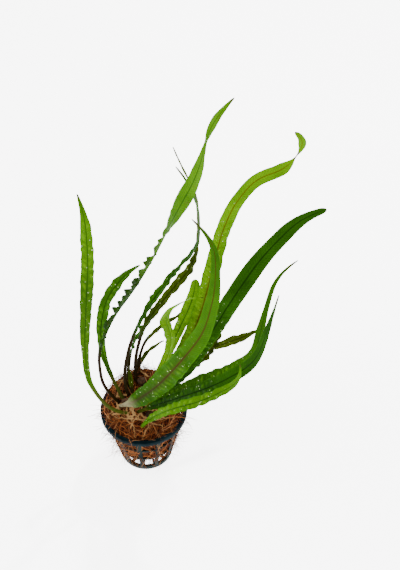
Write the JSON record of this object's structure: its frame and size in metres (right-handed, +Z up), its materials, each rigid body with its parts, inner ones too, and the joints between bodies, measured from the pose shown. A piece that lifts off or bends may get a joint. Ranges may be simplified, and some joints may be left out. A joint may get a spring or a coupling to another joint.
{
  "type": "potted strap-leaf aquarium plant",
  "caption": "Aquarium plant with long crinkled strap leaves rising from a small slotted net pot filled with coconut fibre.",
  "frame": {"origin": "centre of the pot's underside", "axes": "+Z up through the pot, +Y towards the back, -Y towards the viewer's side, +X to the right"},
  "size_m": [0.1379, 0.0964, 0.3051],
  "materials": {
    "net_pot": "satin",
    "coir_plug": "matte",
    "crown_left": "matte",
    "crown_front": "matte",
    "crown_back": "matte",
    "leaf_far_left": "satin",
    "leaf_left_short": "satin",
    "leaf_tall": "satin",
    "leaf_arched_dark": "satin",
    "leaf_thread_tip": "satin",
    "leaf_ruffled_back": "satin",
    "leaf_brown_back": "satin",
    "leaf_rolled_small": "satin",
    "leaf_broad_front": "satin",
    "leaf_lime_arch": "satin",
    "leaf_right_deep": "satin",
    "leaf_quilted": "satin",
    "leaf_front_dark": "satin",
    "leaf_low_front": "satin",
    "leaf_olive_right": "satin",
    "leaf_ruffled_right": "satin",
    "leaf_folded": "satin",
    "leaf_yellow_green": "satin",
    "leaf_stub": "satin"
  },
  "bodies": {
    "root": {"net_pot": "net_pot", "coir_plug": "coir_plug", "crown_left": "crown_left", "crown_front": "crown_front", "crown_back": "crown_back", "leaf_far_left": "leaf_far_left", "leaf_left_short": "leaf_left_short", "leaf_tall": "leaf_tall", "leaf_arched_dark": "leaf_arched_dark", "leaf_thread_tip": "leaf_thread_tip", "leaf_ruffled_back": "leaf_ruffled_back", "leaf_brown_back": "leaf_brown_back", "leaf_rolled_small": "leaf_rolled_small", "leaf_broad_front": "leaf_broad_front", "leaf_lime_arch": "leaf_lime_arch", "leaf_right_deep": "leaf_right_deep", "leaf_quilted": "leaf_quilted", "leaf_front_dark": "leaf_front_dark", "leaf_low_front": "leaf_low_front", "leaf_olive_right": "leaf_olive_right", "leaf_ruffled_right": "leaf_ruffled_right", "leaf_folded": "leaf_folded", "leaf_yellow_green": "leaf_yellow_green", "leaf_stub": "leaf_stub"}
  },
  "joints": []
}
